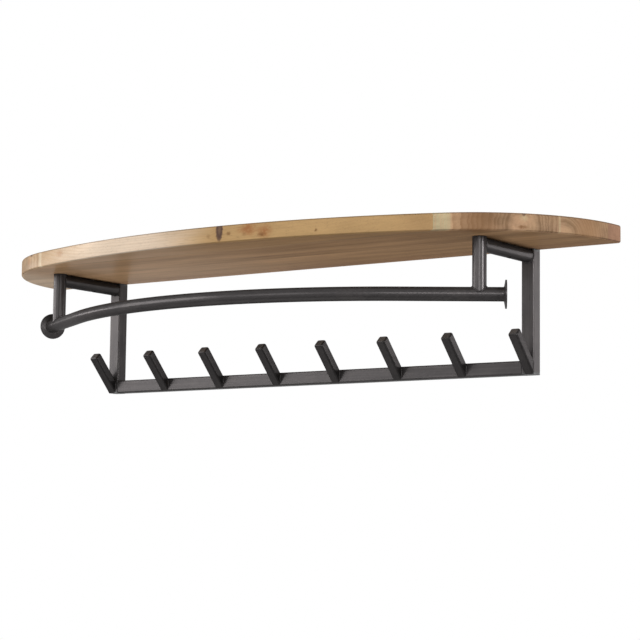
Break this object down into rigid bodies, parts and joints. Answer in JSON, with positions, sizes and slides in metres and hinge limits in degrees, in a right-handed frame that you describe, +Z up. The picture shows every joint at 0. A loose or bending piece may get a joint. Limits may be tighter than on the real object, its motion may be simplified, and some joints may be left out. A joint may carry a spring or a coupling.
{
  "type": "wall coat rack",
  "caption": "Wall coat rack: a bow-front shelf of glued boards on a dark steel frame, with a bowed hanging rail under the shelf and straight square hooks along the foot bar.",
  "frame": {"origin": "on the wall plane, in the middle of the four keyhole entries, which is the middle of the frame", "axes": "+X to the right seen from the room, +Y into the wall, +Z up"},
  "size_m": [1.05, 0.3067, 0.205],
  "materials": {
    "shelf_wood": "oiled hardwood",
    "frame_steel": "dark gunmetal lacquer, satin",
    "plug_plastic": "black moulded",
    "screw_steel": "zinc plated"
  },
  "bodies": {
    "root": {"shelf_front_board": "shelf_wood", "shelf_second_board": "shelf_wood", "shelf_third_board": "shelf_wood", "shelf_back_board": "shelf_wood", "left_post": "frame_steel", "left_arm": "frame_steel", "left_drop": "frame_steel", "left_rail_disc": "frame_steel", "right_post": "frame_steel", "right_arm": "frame_steel", "right_drop": "frame_steel", "right_rail_disc": "frame_steel", "coat_rail": "frame_steel", "hook_bar": "frame_steel", "hook_1": "frame_steel", "hook_2": "frame_steel", "hook_3": "frame_steel", "hook_4": "frame_steel", "hook_5": "frame_steel", "hook_6": "frame_steel", "hook_7": "frame_steel", "hook_8": "frame_steel", "left_post_top_plug": "plug_plastic", "left_post_foot_plug": "plug_plastic", "right_post_top_plug": "plug_plastic", "right_post_foot_plug": "plug_plastic", "shelf_screws": "screw_steel"}
  },
  "joints": []
}
